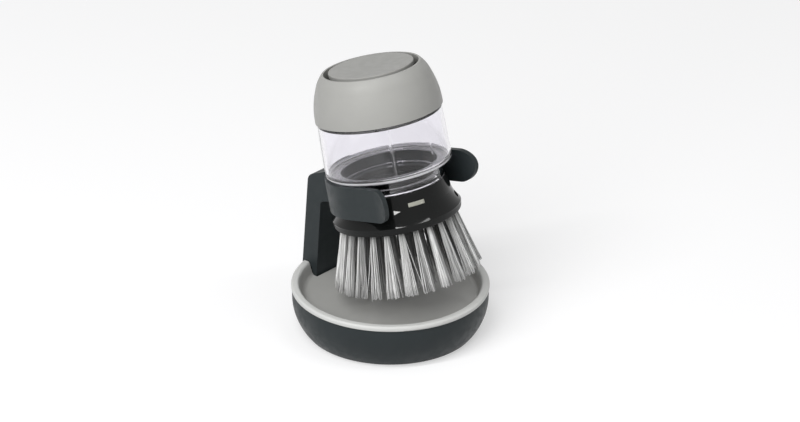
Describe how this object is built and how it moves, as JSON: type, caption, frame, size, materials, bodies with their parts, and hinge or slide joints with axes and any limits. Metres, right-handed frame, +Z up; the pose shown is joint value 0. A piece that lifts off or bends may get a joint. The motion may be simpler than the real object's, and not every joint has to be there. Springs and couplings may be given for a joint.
{
  "type": "dish brush with soap tank and stand",
  "caption": "Palm dish brush with a clear soap tank and push-button cap, leaning in the fork of a round drip-tray stand.",
  "frame": {"origin": "on the ground at the centre of the stand's round foot", "axes": "+Z up; the stand's arm is on the -X side and its fork opens towards +X, so +X is the front"},
  "size_m": [0.0996, 0.1, 0.1444],
  "materials": {
    "pad_rubber": "matte, non-slip",
    "charcoal_plastic": "fine moulded satin",
    "tray_plastic": "fine moulded satin",
    "steel": "zinc plated",
    "clear_plastic": "clear, polished",
    "seal_rubber": "smooth",
    "grey_plastic": "soft satin",
    "black_gloss": "polished",
    "black_plastic": "satin",
    "valve_silicone": "smooth silicone",
    "bristle_nylon": "bundled filaments",
    "anchor_brass": "flat wire"
  },
  "bodies": {
    "stand": {"base_pad": "pad_rubber", "stand_base": "charcoal_plastic", "drip_tray": "tray_plastic", "holder_arm": "charcoal_plastic", "arm_screws": "steel"},
    "head": {"brush_head": "black_gloss", "outlet_valve": "valve_silicone", "valve_retainer": "black_plastic", "bristle_block": "black_plastic", "tufts_outer": "bristle_nylon", "tufts_middle": "bristle_nylon", "tufts_inner": "bristle_nylon", "tuft_anchors": "anchor_brass"},
    "seal": {"neck_seal": "seal_rubber"},
    "reservoir": {"tank": "clear_plastic"},
    "gasket": {"cap_gasket": "seal_rubber"},
    "cap": {"cap_shell": "grey_plastic", "pump_bellows": "seal_rubber", "clamp_ring": "black_plastic", "button_spring": "steel"},
    "button": {"button": "grey_plastic", "stop_washer": "steel", "stop_screw": "steel"}
  },
  "joints": [
    {"name": "brush_pull", "type": "slide", "parent": "stand", "child": "head", "axis": [0.9732, 0, 0.23], "range_m": [0, 0.075]},
    {"name": "tank_lift", "type": "slide", "parent": "head", "child": "seal", "axis": [-0.23, 0, 0.9732], "range_m": [0, 0.009]},
    {"name": "tank_turn", "type": "hinge", "parent": "seal", "child": "reservoir", "pos_m": [-0.00097, 0, 0.08861], "axis": [-0.23, 0, 0.9732], "range_deg": [0, 1080]},
    {"name": "cap_lift", "type": "slide", "parent": "reservoir", "child": "gasket", "axis": [-0.23, 0, 0.9732], "range_m": [0, 0.009]},
    {"name": "cap_turn", "type": "hinge", "parent": "gasket", "child": "cap", "pos_m": [-0.00097, 0, 0.08861], "axis": [-0.23, 0, 0.9732], "range_deg": [0, 1080]},
    {"name": "button_press", "type": "slide", "parent": "cap", "child": "button", "axis": [0.23, 0, -0.9732], "range_m": [0, 0.0045], "stiffness_N_per_m": 800, "springref_m": -0.001, "deforming": ["pump_bellows", "button_spring"]}
  ],
  "couplings": [
    {"joint": "tank_turn", "follows": "tank_lift", "rad_per_m": 2094.4},
    {"joint": "cap_turn", "follows": "cap_lift", "rad_per_m": 2094.4}
  ]
}
